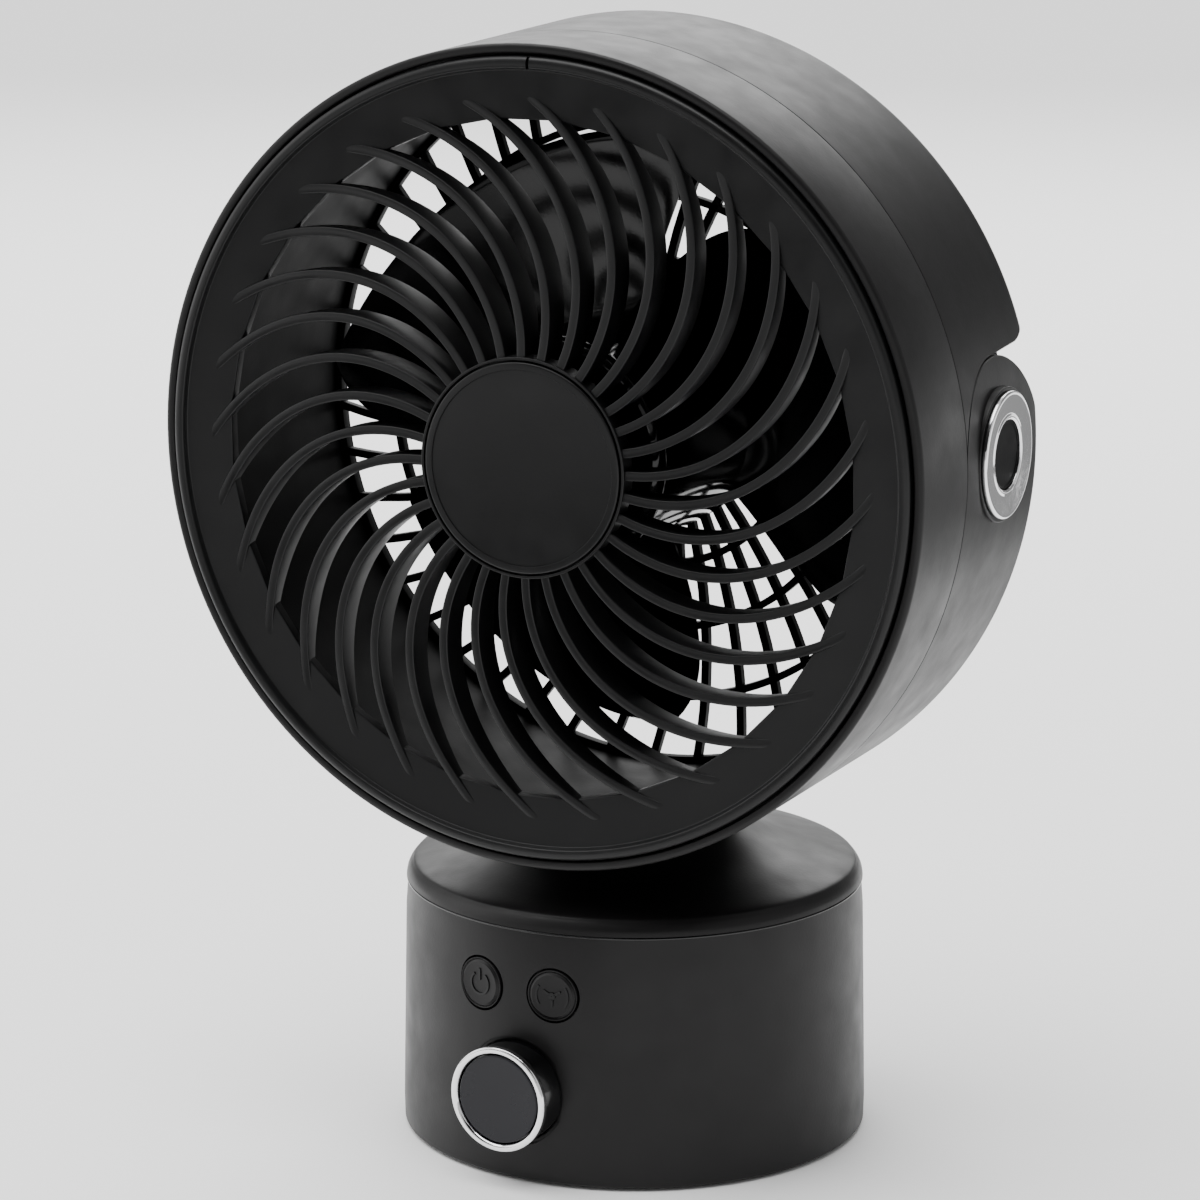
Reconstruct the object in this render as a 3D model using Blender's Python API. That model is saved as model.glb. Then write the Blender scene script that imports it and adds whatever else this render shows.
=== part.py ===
"""Desk fan: round base with controls, swinging and tilting drum head, spiral front grille.

Lengths are millimetres while the solids are built and become metres in finish().
World: +Z up, the head faces -Y at rest, the base stands on Z = 0 with its axis on Z.
"""
import math

import bmesh
import bpy
from mathutils import Matrix, Vector
from mathutils.geometry import tessellate_polygon

MM = 0.001
SMOOTH_ANGLE = math.radians(32)
GAP = 0.3

# Base
BASE_YAW = math.radians(-5.4)
BASE_R = 70.0
BASE_TOP_R = 68.6
BASE_FOOT_Z = 0.9
SEAM_Z = 77.05
WALL = 2.6
DECK_TOP_Z = 70.2
DECK_Z = 67.8
PAD_T = 1.4
SPIGOT_R = 16.0
SPIGOT_Z = 60.0
BORE_R = 16.4
COLLAR_R = 19.6
BASE_SEGMENTS = 38

# Controls
BUTTON_R = 7.7
BUTTON_HOLE_R = 8.3
BUTTON_Z = 58.4
BUTTON_SPREAD = math.radians(10.2)
BUTTON_FACE = 69.5
KNOB_R = 15.4
KNOB_RING_R = 15.8
KNOB_Z = 27.8
KNOB_SEAT = 68.0
KNOB_FACE = 79.2
KNOB_SHAFT_R = 3.0

# Swing drive
GEAR_MODULE = 2.5
GEAR_TEETH = 20
PINION_TEETH = 8
PINION_OFFSET = 0.5 * GEAR_MODULE * (GEAR_TEETH + PINION_TEETH)
GEAR_Z = 72.8
GEAR_T = 4.0

# Head
AXIS_Z = 215.25
DRUM_R = 119.0
DRUM_WALL = 2.9
DRUM_FRONT = 70.58
DRUM_SPLIT = 36.5
DRUM_BACK = -19.65
DRUM_SEGMENTS = 48
GRILLE_SEGMENTS = 48
INNER_R = 109.9
DUCT_R = 107.3
PIVOT_L = 8.5
PIVOT_UP = 2.0
ARCH_R = 28.0
ARCH_GAP = 0.4
ARM_WALL = 3.4
NECK_R = 28.0
NECK_Z = 96.0

# Front grille
RIM_R = 115.6
CREASE_R = 112.0
DISH_R = 98.0
HUB_R = 31.8
CAP_R = 30.4
CAP_FRONT = 76.7
SLATS = 32
SLAT_T = 2.2
SLAT_PHASE = math.radians(1.0)
SLAT_SWEEP = math.radians(33.4)
SLAT_START_R = 35.0
SLAT_SPAN = 69.6
SLAT_POWER = 1.59
SLAT_STATIONS = ((31.1, 75.2, 65.4), (50.0, 74.3, 63.6), (70.0, 72.4, 62.4), (88.0, 70.4, 62.4),
                 (104.8, 69.2, 65.2))

# Rear grille
SPOKES = 30
SPOKE_T = 2.2
REAR_GRILLE_R = 107.0
REAR_DISC_R = 34.0
REAR_RINGS = ((34.0, 36.5), (66.0, 69.0), (105.0, 107.0))
REAR_L = (-16.3, -13.3)
SPOKE_LEAN = math.radians(-12.5)

# Rotor and motor
BLADES = 3
BLADE_ROOT_R = 33.3
BLADE_R = 85.3
BLADE_L = 12.0
BLADE_SWEEP = math.radians(-16.8)
ROTOR_HUB_R = 34.5
BLADE_T = 2.0
MOTOR_R = 30.0
MOTOR_L = (-13.0, 15.0)
SHAFT_R = 2.5
SMALL = 18
TINY = 8

BLACK = (0.022, 0.021, 0.022)
GRILLE_BLACK = (0.018, 0.019, 0.021)
DARK = (0.012, 0.012, 0.012)
CHROME = (0.80, 0.80, 0.80)
STEEL = (0.45, 0.45, 0.46)
KNOB_GREY = (0.055, 0.060, 0.075)
RUBBER = (0.015, 0.015, 0.015)
BOARD_GREEN = (0.02, 0.12, 0.05)
NYLON = (0.75, 0.74, 0.70)


def clear_objects():
    for old in list(bpy.data.objects):
        bpy.data.objects.remove(old, do_unlink=True)


# ---------------------------------------------------------------- frames
def frame_from_axes(origin, x_axis, y_axis, z_axis):
    columns = Matrix((x_axis, y_axis, z_axis)).transposed().to_4x4()
    columns.translation = Vector(origin)
    return columns


HEAD = frame_from_axes((0, 0, AXIS_Z), (1, 0, 0), (0, 0, 1), (0, -1, 0))
WORLD = Matrix.Identity(4)


def radial_frame(azimuth, height):
    """Z points out of the base at the azimuth measured from -Y towards +X."""
    sine = math.sin(azimuth)
    cosine = math.cos(azimuth)
    return frame_from_axes((0, 0, height), (cosine, sine, 0), (0, 0, 1), (sine, -cosine, 0))


def pivot_frame(side):
    """Z points out along the tilt axis, side is +1 for +X and -1 for -X."""
    origin = (0, -PIVOT_L, AXIS_Z + PIVOT_UP)
    return frame_from_axes(origin, (0, side, 0), (0, 0, 1), (side, 0, 0))


# ---------------------------------------------------------------- solids as (points, faces)
def lathe(profile, segments, frame):
    """Closed profile of (radius, height) turned about the frame's Z axis."""
    points = []
    rings = []
    for radius, height in profile:
        count = segments if radius > 0 else 1
        ring = []
        for step in range(count):
            angle = 2 * math.pi * step / segments
            ring.append(len(points))
            points.append(frame @ Vector((radius * math.cos(angle), radius * math.sin(angle), height)))
        rings.append(ring)
    faces = []
    for low, high in zip(rings, rings[1:] + rings[:1]):
        if len(low) == 1 and len(high) == 1:
            continue
        for step in range(segments):
            after = (step + 1) % segments
            corners = [low[step % len(low)], low[after % len(low)], high[after % len(high)], high[step % len(high)]]
            faces.append(tuple(dict.fromkeys(corners)))
    return points, faces


def cylinder(radius, low, high, segments, frame):
    return lathe([(0, low), (radius, low), (radius, high), (0, high)], segments, frame)


def tube(inner, outer, low, high, segments, frame):
    return lathe([(inner, low), (outer, low), (outer, high), (inner, high)], segments, frame)


def box(low, high, frame):
    points = []
    for x in (low[0], high[0]):
        for y in (low[1], high[1]):
            for z in (low[2], high[2]):
                points.append(frame @ Vector((x, y, z)))
    faces = [(0, 1, 3, 2), (4, 6, 7, 5), (0, 4, 5, 1), (2, 3, 7, 6), (0, 2, 6, 4), (1, 5, 7, 3)]
    return points, faces


def prism(outline, low, high, frame):
    """Flat outline pulled along the frame's Z axis."""
    count = len(outline)
    points = [frame @ Vector((x, y, low)) for x, y in outline]
    points += [frame @ Vector((x, y, high)) for x, y in outline]
    faces = [(i, (i + 1) % count, (i + 1) % count + count, i + count) for i in range(count)]
    for triangle in tessellate_polygon([[Vector((x, y, 0)) for x, y in outline]]):
        faces.append(tuple(triangle))
        faces.append(tuple(corner + count for corner in reversed(triangle)))
    return points, faces


def part_turn(profile, limits, steps, frame):
    """Profile turned through an arc whose two end angles depend on the profile point."""
    points = []
    count = len(profile)
    for step in range(steps + 1):
        share = step / steps
        for radius, height in profile:
            start, end = limits(radius, height)
            angle = start + share * (end - start)
            points.append(frame @ Vector((radius * math.cos(angle), radius * math.sin(angle), height)))
    faces = []
    for step in range(steps):
        for i in range(count):
            after = (i + 1) % count
            low = step * count
            high = low + count
            faces.append((low + i, low + after, high + after, high + i))
    for triangle in tessellate_polygon([[Vector((radius, height, 0)) for radius, height in profile]]):
        faces.append(tuple(triangle))
        faces.append(tuple(corner + steps * count for corner in reversed(triangle)))
    return points, faces


def skin(front, back):
    """Closed solid between two equal grids of points."""
    rows = len(front)
    cols = len(front[0])
    points = [point for row in front for point in row] + [point for row in back for point in row]
    shift = rows * cols
    faces = []
    for r in range(rows - 1):
        for c in range(cols - 1):
            quad = (r * cols + c, r * cols + c + 1, (r + 1) * cols + c + 1, (r + 1) * cols + c)
            faces.append(quad)
            faces.append(tuple(corner + shift for corner in reversed(quad)))
    edge = list(range(cols))
    edge += [r * cols + cols - 1 for r in range(1, rows)]
    edge += [(rows - 1) * cols + c for c in range(cols - 2, -1, -1)]
    edge += [r * cols for r in range(rows - 2, 0, -1)]
    for here, there in zip(edge, edge[1:] + edge[:1]):
        faces.append((here, there, there + shift, here + shift))
    return points, faces


def merge(*solids):
    points = []
    faces = []
    for solid_points, solid_faces in solids:
        shift = len(points)
        points += solid_points
        faces += [tuple(corner + shift for corner in face) for face in solid_faces]
    return points, faces


def arc_points(centre, radius, start_deg, end_deg, steps):
    points = []
    for step in range(steps + 1):
        angle = math.radians(start_deg + (end_deg - start_deg) * step / steps)
        points.append((centre[0] + radius * math.cos(angle), centre[1] + radius * math.sin(angle)))
    return points


def pipe(path, radius, sides):
    """Round lead that follows the points of the path."""
    points = []
    last = len(path) - 1
    for index, centre in enumerate(path):
        along = (Vector(path[min(index + 1, last)]) - Vector(path[max(index - 1, 0)])).normalized()
        across = along.orthogonal().normalized() if index == 0 else (across - along * across.dot(along)).normalized()
        other = along.cross(across)
        for side in range(sides):
            angle = 2 * math.pi * side / sides
            points.append(Vector(centre) + radius * (math.cos(angle) * across + math.sin(angle) * other))
    faces = []
    for index in range(last):
        for side in range(sides):
            after = (side + 1) % sides
            low = index * sides
            high = low + sides
            faces.append((low + side, low + after, high + after, high + side))
    faces.append(tuple(range(sides)))
    faces.append(tuple(last * sides + side for side in reversed(range(sides))))
    return points, faces


# ---------------------------------------------------------------- objects
def solid_object(name, solid):
    points, faces = solid
    mesh = bpy.data.meshes.new(name)
    mesh.from_pydata([tuple(point) for point in points], [], faces)
    work = bmesh.new()
    work.from_mesh(mesh)
    bmesh.ops.recalc_face_normals(work, faces=work.faces)
    work.to_mesh(mesh)
    work.free()
    made = bpy.data.objects.new(name, mesh)
    bpy.context.scene.collection.objects.link(made)
    return made


def combine(target, solid, operation):
    """EXACT boolean of the target with another closed solid."""
    tool = solid_object("tool", solid)
    tool.hide_render = True
    tool.display_type = "WIRE"
    step = target.modifiers.new(operation, "BOOLEAN")
    step.operation = operation
    step.solver = "EXACT"
    step.object = tool
    evaluated = target.evaluated_get(bpy.context.evaluated_depsgraph_get())
    result = bpy.data.meshes.new_from_object(evaluated)
    old = target.data
    target.modifiers.clear()
    target.data = result
    bpy.data.meshes.remove(old)
    tool_mesh = tool.data
    bpy.data.objects.remove(tool, do_unlink=True)
    bpy.data.meshes.remove(tool_mesh)


def finish(target, colour, roughness, metallic=0.0, origin=(0, 0, 0)):
    """Clean the mesh, move to metres about the origin, add the material."""
    mesh = target.data
    centre = Vector(origin)
    work = bmesh.new()
    work.from_mesh(mesh)
    bmesh.ops.remove_doubles(work, verts=work.verts, dist=0.002)
    bmesh.ops.dissolve_degenerate(work, edges=work.edges, dist=0.002)
    for vertex in work.verts:
        vertex.co = (vertex.co - centre) * MM
    bmesh.ops.recalc_face_normals(work, faces=work.faces)
    work.to_mesh(mesh)
    work.free()
    target.location = centre * MM
    mesh.name = target.name
    mesh.shade_smooth()
    mesh.set_sharp_from_angle(angle=SMOOTH_ANGLE)
    material = bpy.data.materials.new(target.name + "_finish")
    material.use_nodes = True
    shader = material.node_tree.nodes["Principled BSDF"]
    shader.inputs["Base Color"].default_value = (*colour, 1.0)
    shader.inputs["Roughness"].default_value = roughness
    shader.inputs["Metallic"].default_value = metallic
    mesh.materials.clear()
    mesh.materials.append(material)
    return target


def screw(name, frame, head_r, head_t, shank_r, length, origin=(0, 0, 0)):
    """Head under Z = 0 of the frame, shank along +Z."""
    profile = [(0, -head_t), (head_r, -head_t), (head_r, 0), (shank_r, 0), (shank_r, length), (0, length)]
    made = solid_object(name, lathe(profile, TINY, frame))
    return finish(made, STEEL, 0.35, 1.0, origin)


# ---------------------------------------------------------------- base
CONTROL_AZIMUTHS = {"power": BASE_YAW - BUTTON_SPREAD, "swing": BASE_YAW + BUTTON_SPREAD}
BOSS_RADIUS = 61.5
BOSS_ANGLES = (30, 150, 270)
PINION_AZIMUTH = BASE_YAW + math.pi
PINION_CENTRE = (PINION_OFFSET * math.sin(PINION_AZIMUTH), -PINION_OFFSET * math.cos(PINION_AZIMUTH))
INLET_Z = 16.0


def outer_radius(height):
    return BASE_R - (BASE_R - BASE_TOP_R) * height / SEAM_Z


def boss_centres(radius, angles):
    return [(radius * math.cos(math.radians(a)), radius * math.sin(math.radians(a))) for a in angles]


def base_body():
    profile = [(BASE_R - 0.7, BASE_FOOT_Z), (outer_radius(1.8), 1.8), (outer_radius(75.9), 75.9), (68.2, 76.75),
               (66.5, 76.75), (66.1, 76.3), (66.1, DECK_TOP_Z), (BORE_R, DECK_TOP_Z), (BORE_R, SPIGOT_Z + GAP),
               (COLLAR_R, SPIGOT_Z + GAP), (COLLAR_R, DECK_Z), (66.0, DECK_Z), (67.3, BASE_FOOT_Z)]
    body = solid_object("base_body", lathe(profile, BASE_SEGMENTS, WORLD))
    bosses = []
    for x, y in boss_centres(BOSS_RADIUS, BOSS_ANGLES):
        bosses.append(cylinder(6.4, 4.2, 17.5, TINY + 4, Matrix.Translation((x, y, 0))))
    combine(body, merge(*bosses), "UNION")
    holes = []
    for azimuth in CONTROL_AZIMUTHS.values():
        holes.append(cylinder(BUTTON_HOLE_R, 60, 75, SMALL, radial_frame(azimuth, BUTTON_Z)))
    knob = radial_frame(BASE_YAW, KNOB_Z)
    seat = [(0, 60), (4.5, 60), (4.5, KNOB_SEAT), (KNOB_RING_R + 0.7, KNOB_SEAT), (KNOB_RING_R + 0.7, 75), (0, 75)]
    holes.append(lathe(seat, SMALL + 6, knob))
    holes.append(box((-7.3, -5.3, 60), (7.3, 5.3, 75), radial_frame(PINION_AZIMUTH, INLET_Z)))
    pinion_spot = Matrix.Translation((*PINION_CENTRE, 0))
    holes.append(cylinder(3.2, 60, 75, SMALL // 2, pinion_spot))
    for x, y in boss_centres(BOSS_RADIUS, BOSS_ANGLES):
        holes.append(cylinder(1.9, 2.0, 16.0, TINY, Matrix.Translation((x, y, 0))))
    combine(body, merge(*holes), "DIFFERENCE")
    finish(body, BLACK, 0.45)


def bottom_cover():
    cover = solid_object("bottom_cover", cylinder(66.9, 1.7, 3.9, BASE_SEGMENTS, WORLD))
    cuts = []
    for x, y in boss_centres(BOSS_RADIUS, BOSS_ANGLES):
        spot = Matrix.Translation((x, y, 0))
        cuts.append(lathe([(0, 1), (3.9, 1), (3.9, 2.9), (1.9, 2.9), (1.9, 5), (0, 5)], TINY, spot))
    combine(cover, merge(*cuts), "DIFFERENCE")
    finish(cover, DARK, 0.6)
    pad = solid_object("nonslip_pad", lathe([(0, 0), (65.6, 0), (66.2, 0.5), (66.2, PAD_T), (0, PAD_T)],
                                            BASE_SEGMENTS, WORLD))
    finish(pad, RUBBER, 0.9)
    for index, (x, y) in enumerate(boss_centres(BOSS_RADIUS, BOSS_ANGLES), 1):
        screw("cover_screw_%d" % index, Matrix.Translation((x, y, 2.85)), 3.5, 1.1, 1.55, 12.0)


def controls():
    """Buttons, switches, board, knob and potentiometer."""
    for name, azimuth in CONTROL_AZIMUTHS.items():
        frame = radial_frame(azimuth, BUTTON_Z)
        profile = [(0, 60.6), (BUTTON_R, 60.6), (BUTTON_R, 62.6), (9.2, 62.6), (9.2, 64.4), (BUTTON_R, 64.4),
                   (BUTTON_R, BUTTON_FACE - 0.8), (BUTTON_R - 0.7, BUTTON_FACE), (0, BUTTON_FACE)]
        cap = solid_object(name + "_button", lathe(profile, SMALL, frame))
        finish(cap, BLACK, 0.4, 0.0, frame @ Vector((0, 0, BUTTON_FACE)))
        inner = [(0, 57.4), (1.7, 57.4), (1.7, 59.0), (0, 59.0)]
        switch = solid_object(name + "_switch", box((-3.1, -3.1, 54.4), (3.1, 3.1, 57.6), frame))
        combine(switch, lathe(inner, TINY, frame), "UNION")
        finish(switch, DARK, 0.5)
    front = radial_frame(BASE_YAW, BUTTON_Z)
    board = solid_object("control_board", box((-21, -8.6, 50.6), (21, 8.6, 52.2), front))
    finish(board, BOARD_GREEN, 0.5)
    knob = radial_frame(BASE_YAW, KNOB_Z)
    seat_gap = KNOB_SEAT + 0.4
    body_profile = [(0, seat_gap), (KNOB_R - 0.3, seat_gap), (KNOB_R, seat_gap + 0.5), (KNOB_R, KNOB_FACE - 2.5),
                    (0, KNOB_FACE - 2.5)]
    knob_body = solid_object("knob_body", lathe(body_profile, SMALL + 6, knob))
    combine(knob_body, cylinder(KNOB_SHAFT_R + 0.3, 60, 72.3, TINY + 4, knob), "DIFFERENCE")
    origin = knob @ Vector((0, 0, 70))
    finish(knob_body, DARK, 0.2, 0.0, origin)
    ring_profile = [(13.4, KNOB_FACE - 2.2), (KNOB_RING_R, KNOB_FACE - 2.2), (KNOB_RING_R, KNOB_FACE - 0.7),
                    (15.2, KNOB_FACE), (13.4, KNOB_FACE)]
    finish(solid_object("knob_ring", lathe(ring_profile, SMALL + 6, knob)), CHROME, 0.12, 1.0, origin)
    dial = cylinder(13.1, KNOB_FACE - 2.2, KNOB_FACE - 0.8, SMALL + 6, knob)
    finish(solid_object("knob_face", dial), KNOB_GREY, 0.35, 0.0, origin)
    finish(solid_object("knob_shaft", cylinder(KNOB_SHAFT_R, 58.6, 72.0, TINY + 4, knob)), STEEL, 0.3, 1.0, origin)
    pot = solid_object("speed_control", box((-8, -8, 50), (8, 8, 58), knob))
    combine(pot, cylinder(4.1, 57, 67.6, TINY + 4, knob), "UNION")
    combine(pot, cylinder(KNOB_SHAFT_R + 0.3, 58.3, 70, TINY + 4, knob), "DIFFERENCE")
    finish(pot, STEEL, 0.45, 0.8)


def inlet():
    frame = radial_frame(PINION_AZIMUTH, INLET_Z)
    block = solid_object("power_inlet", box((-7, -5, 55.5), (7, 5, 69.2), frame))
    combine(block, box((-9, -7, 62.5), (9, 7, 65.8), frame), "UNION")
    combine(block, cylinder(3.2, 58.5, 75, TINY + 4, frame), "DIFFERENCE")
    finish(block, DARK, 0.4)
    board_end = radial_frame(BASE_YAW, 52.0) @ Vector((-14, 0, 49.8))
    path = [frame @ Vector((0, 0, 54.2)), frame @ Vector((0, 4, 48)), frame @ Vector((2, 12, 30)),
            Vector((-24, 8, 34)), Vector((-26, -18, 42)), board_end + Vector((0, 8, 0)), board_end]
    finish(solid_object("inlet_lead", pipe(path, 1.6, 8)), DARK, 0.5)


# ---------------------------------------------------------------- swing drive
def gear_outline(teeth, phase):
    """Straight-flanked teeth with a little play."""
    pitch = 0.5 * GEAR_MODULE * teeth
    tip = pitch + 0.85 * GEAR_MODULE
    root = pitch - 1.15 * GEAR_MODULE
    step = 2 * math.pi / teeth
    outline = []
    for tooth in range(teeth):
        middle = phase + tooth * step
        for radius, offset in ((root, -0.33), (tip, -0.11), (tip, 0.11), (root, 0.33)):
            angle = middle + offset * step
            outline.append((radius * math.cos(angle), radius * math.sin(angle)))
    return outline


def swing_drive():
    gear_angle = math.atan2(PINION_CENTRE[1], PINION_CENTRE[0])
    gear = solid_object("swing_gear", prism(gear_outline(GEAR_TEETH, gear_angle), GEAR_Z, GEAR_Z + GEAR_T, WORLD))
    combine(gear, cylinder(21.0, 60, 90, SMALL, WORLD), "DIFFERENCE")
    finish(gear, NYLON, 0.5)
    half_tooth = math.pi / PINION_TEETH
    spot = Matrix.Translation((*PINION_CENTRE, 0))
    outline = gear_outline(PINION_TEETH, gear_angle + math.pi + half_tooth)
    pinion = solid_object("swing_pinion", prism(outline, GEAR_Z, GEAR_Z + GEAR_T, spot))
    combine(pinion, cylinder(2.5, 65.4, GEAR_Z + 1, TINY + 4, spot), "UNION")
    finish(pinion, NYLON, 0.5, 0.0, (*PINION_CENTRE, GEAR_Z))
    motor_profile = [(0, 49.0), (13.4, 49.0), (14.0, 49.6), (14.0, DECK_Z - GAP), (2.9, DECK_Z - GAP), (2.9, 65.0),
                     (0, 65.0)]
    stepper = solid_object("swing_motor", lathe(motor_profile, SMALL, spot))
    finish(stepper, STEEL, 0.4, 0.8)
    washer = solid_object("thrust_washer", tube(BORE_R, 24.0, DECK_TOP_Z + GAP, 72.1, SMALL, WORLD))
    finish(washer, NYLON, 0.4)


# ---------------------------------------------------------------- swivel
def top_cover():
    outer = [(68.6, SEAM_Z + 0.1), (68.4, 79.2), (67.2, 81.3), (65.0, 82.8), (56.0, 84.9), (44.0, 88.2), (35.5, 92.0),
             (NECK_R, NECK_Z)]
    inner = [(BORE_R, NECK_Z), (BORE_R, 72.4), (20.4, 72.4), (20.4, 91.0), (27.0, 91.6), (42.0, 86.2), (62.5, 80.9),
             (66.0, SEAM_Z + 0.1)]
    finish(solid_object("top_cover", lathe(outer + inner, BASE_SEGMENTS, WORLD)), BLACK, 0.45)


def arch_height(depth, radius):
    return PIVOT_UP + math.sqrt(max(radius ** 2 - (depth - PIVOT_L) ** 2, 0.0))


def yoke_limits(radius, depth):
    rise = math.asin(arch_height(depth, ARCH_R) / radius)
    return math.pi - rise, 2 * math.pi + rise


def yoke():
    depths = [PIVOT_L + (ARCH_R - 0.2) * math.cos(math.pi * step / 8) for step in range(9)]
    outer = [(DRUM_R, depth) for depth in depths]
    outer[-2:] = [(DRUM_R - 0.7, depths[-2]), (DRUM_R - 2.0, depths[-1])]
    inner = [(DRUM_R - ARM_WALL, depth) for depth in reversed(depths[::2])]
    body = solid_object("yoke", part_turn(outer + inner, yoke_limits, 22, HEAD))
    foot = [(0, SPIGOT_Z), (SPIGOT_R, SPIGOT_Z), (SPIGOT_R, NECK_Z + GAP), (NECK_R, NECK_Z + GAP), (NECK_R, 103.0),
            (0, 103.0)]
    post = solid_object("post", lathe(foot, SMALL + 6, WORLD))
    combine(post, cylinder(DRUM_R - ARM_WALL, -60, 60, 48, HEAD), "DIFFERENCE")
    combine(body, ([vertex.co.copy() for vertex in post.data.vertices],
                   [tuple(face.vertices) for face in post.data.polygons]), "UNION")
    bpy.data.objects.remove(post, do_unlink=True)
    plinths = [cylinder(19.4, 110.0, 119.3, SMALL + 6, pivot_frame(side)) for side in (1, -1)]
    plates = solid_object("plates", merge(*plinths))
    combine(plates, cylinder(DRUM_R - ARM_WALL + 1.0, -60, 60, 48, HEAD), "DIFFERENCE")
    combine(body, ([vertex.co.copy() for vertex in plates.data.vertices],
                   [tuple(face.vertices) for face in plates.data.polygons]), "UNION")
    bpy.data.objects.remove(plates, do_unlink=True)
    cuts = [cylinder(5.0, 50, 110, TINY + 4, WORLD)]
    for side in (1, -1):
        cuts.append(lathe([(0, 105), (6.0, 105), (6.0, 117.3), (9.3, 117.3), (9.3, 125), (0, 125)], SMALL,
                          pivot_frame(side)))
    for x, y in boss_centres(10.8, (90, 210, 330)):
        cuts.append(cylinder(1.5, 50, 70, TINY, Matrix.Translation((x, y, 0))))
    combine(body, merge(*cuts), "DIFFERENCE")
    finish(body, BLACK, 0.45)


def swivel_retainer():
    ring = solid_object("swivel_retainer", tube(5.3, 21.0, 57.2, SPIGOT_Z - GAP, SMALL, WORLD))
    holes = []
    for x, y in boss_centres(10.8, (90, 210, 330)):
        holes.append(cylinder(1.6, 50, 70, TINY, Matrix.Translation((x, y, 0))))
    combine(ring, merge(*holes), "DIFFERENCE")
    finish(ring, STEEL, 0.4, 1.0)
    for index, (x, y) in enumerate(boss_centres(10.8, (90, 210, 330)), 1):
        screw("retainer_screw_%d" % index, Matrix.Translation((x, y, 57.0)), 2.8, 1.8, 1.2, 11.0)


def pivots():
    for side, word in ((1, "right"), (-1, "left")):
        frame = pivot_frame(side)
        bolt = [(0, 108.7), (5.6, 108.7), (5.6, 117.6), (8.9, 117.6), (8.9, 119.0), (0, 119.0)]
        finish(solid_object("pivot_bolt_" + word, lathe(bolt, SMALL, frame)), STEEL, 0.35, 1.0)
        finish(solid_object("tilt_washer_" + word, tube(6.0, 11.5, 113.2, 114.5, SMALL, frame)), NYLON, 0.5)
        ring = [(10.4, 119.6), (18.3, 119.6), (17.9, 120.4), (10.8, 120.4)]
        finish(solid_object("pivot_ring_" + word, lathe(ring, SMALL + 6, frame)), CHROME, 0.12, 1.0)
        cap = [(0, 119.4), (10.1, 119.4), (10.1, 120.1), (9.0, 120.1), (7.5, 119.8), (0, 119.7)]
        finish(solid_object("pivot_cap_" + word, lathe(cap, SMALL, frame)), DARK, 0.3)


# ---------------------------------------------------------------- head housings
PIVOT_POINT = (0, -PIVOT_L, AXIS_Z + PIVOT_UP)


def front_housing():
    rear = DRUM_SPLIT + 0.2
    bore = DRUM_R - DRUM_WALL
    profile = [(DRUM_R, rear), (DRUM_R, 68.7), (118.4, 70.1), (117.4, DRUM_FRONT), (bore, 70.0), (bore, 64.6),
               (105.0, 64.6), (105.0, 62.2), (bore, 62.2),
               (bore, 39.1), (INNER_R + 0.4, 39.1), (INNER_R + 0.4, rear)]
    housing = solid_object("front_housing", lathe(profile, DRUM_SEGMENTS, HEAD))
    holes = []
    for x, y in boss_centres(113.2, (45, 135, 225, 315)):
        sunk = [(0, 30), (2.6, 30), (2.6, 38.3), (1.7, 38.3), (1.7, 41), (0, 41)]
        holes.append(lathe(sunk, TINY, HEAD @ Matrix.Translation((x, y, 0))))
    combine(housing, merge(*holes), "DIFFERENCE")
    finish(housing, BLACK, 0.45, 0.0, PIVOT_POINT)
    for index, (x, y) in enumerate(boss_centres(113.2, (45, 135, 225, 315)), 1):
        screw("housing_screw_%d" % index, HEAD @ Matrix.Translation((x, y, 38.25)), 2.2, 1.35, 1.3, 5.0,
              PIVOT_POINT)


def rear_housing():
    corner = arc_points((INNER_R - 3.0, -16.0), 3.0, 0, -80, 2)
    profile = [(INNER_R, 61.9), (INNER_R, 42.1), (115.7, 42.1), (115.7, 39.5), (INNER_R, 39.5)] + corner
    profile += [(106.4, -19.0), (106.4, -16.6), (DUCT_R, -16.6), (DUCT_R, 61.9)]
    housing = solid_object("rear_housing", lathe(profile, DRUM_SEGMENTS, HEAD))
    bosses = [cylinder(12.0, 100.0, 112.9, SMALL, pivot_frame(side)) for side in (1, -1)]
    shaped = solid_object("bosses", merge(*bosses))
    combine(shaped, cylinder(DUCT_R + 0.6, -60, 90, DRUM_SEGMENTS, HEAD), "DIFFERENCE")
    combine(housing, ([vertex.co.copy() for vertex in shaped.data.vertices],
                      [tuple(face.vertices) for face in shaped.data.polygons]), "UNION")
    bpy.data.objects.remove(shaped, do_unlink=True)
    holes = [cylinder(5.9, 108.4, 120.0, SMALL, pivot_frame(side)) for side in (1, -1)]
    for x, y in boss_centres(113.2, (45, 135, 225, 315)):
        holes.append(cylinder(1.7, 39, 43, TINY, HEAD @ Matrix.Translation((x, y, 0))))
    combine(housing, merge(*holes), "DIFFERENCE")
    finish(housing, BLACK, 0.5, 0.0, PIVOT_POINT)


NOTCH_APEX = 7.2
NOTCH_ROUND = 6.5


def shell_limits(radius, depth):
    if depth > NOTCH_APEX:
        rise = arch_height(depth, ARCH_R + ARCH_GAP)
    else:
        reach = max(DRUM_BACK + NOTCH_ROUND - depth, 0.0)
        rise = 30.4 + (NOTCH_APEX - depth) * 0.04 + NOTCH_ROUND - math.sqrt(NOTCH_ROUND ** 2 - reach ** 2)
    angle = math.asin(rise / radius)
    return angle, math.pi - angle


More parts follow.
